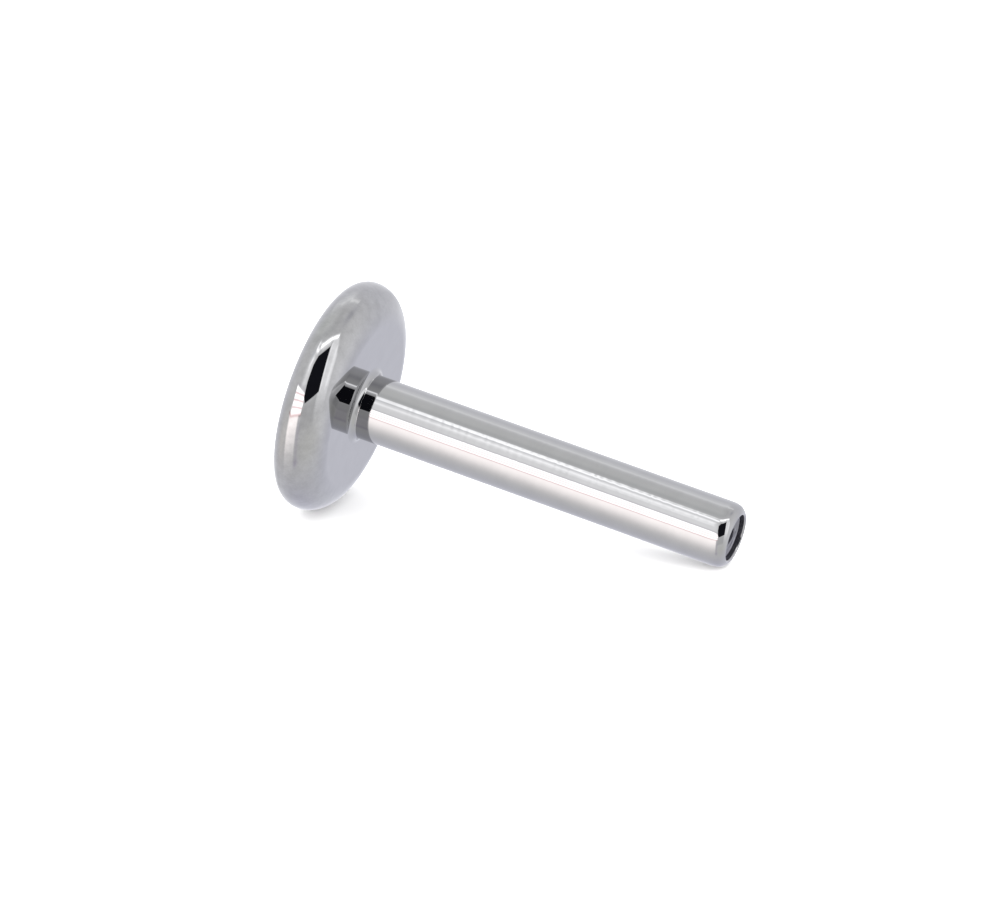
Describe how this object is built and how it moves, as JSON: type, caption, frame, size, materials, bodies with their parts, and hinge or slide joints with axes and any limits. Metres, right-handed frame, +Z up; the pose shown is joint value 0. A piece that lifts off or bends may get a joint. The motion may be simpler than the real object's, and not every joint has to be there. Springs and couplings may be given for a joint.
{
  "type": "piercing stud post",
  "caption": "Labret piercing stud: a polished round flat back with a soft rim and a straight post with an internal thread in its free end.",
  "frame": {"origin": "middle of the bounding box, on the surface that the stud lies on", "axes": "+Z up from the surface, +X along the lying stud from the flat back to the threaded free end, +Y across it"},
  "size_m": [0.0084, 0.0042, 0.0042],
  "materials": {
    "polished_metal": "mirror-polished titanium"
  },
  "bodies": {
    "root": {"labret_post": "polished_metal"}
  },
  "joints": []
}
